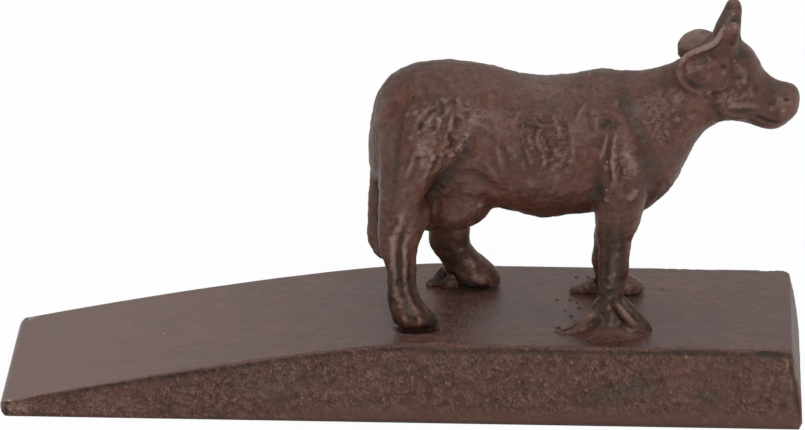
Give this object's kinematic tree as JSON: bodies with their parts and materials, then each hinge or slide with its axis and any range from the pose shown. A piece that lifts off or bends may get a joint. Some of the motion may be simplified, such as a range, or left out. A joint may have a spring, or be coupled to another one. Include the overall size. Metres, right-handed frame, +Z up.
{
  "type": "doorstop",
  "caption": "Cast iron doorstop: a standing cow, welded by its hooves to the flat end of a solid wedge that slides under a door.",
  "frame": {"origin": "middle of the resting face, under the middle of the whole object's box", "axes": "+X from the wedge's thin tip to its thick end, where the cow's head points; +Y to the cow's left; +Z up"},
  "size_m": [0.1448, 0.0398, 0.0731],
  "materials": {
    "wedge_base": "smooth dark brown on top, rough as cast at the sides",
    "cow_casting": "reddish brown as cast, rubbed lighter on raised lines",
    "weld": "rough brown weld metal with black spatter"
  },
  "bodies": {
    "doorstop": {"wedge_base": "wedge_base", "cow_casting": "cow_casting", "weld_front_near": "weld", "weld_front_far": "weld", "weld_hind_far": "weld"}
  },
  "joints": []
}
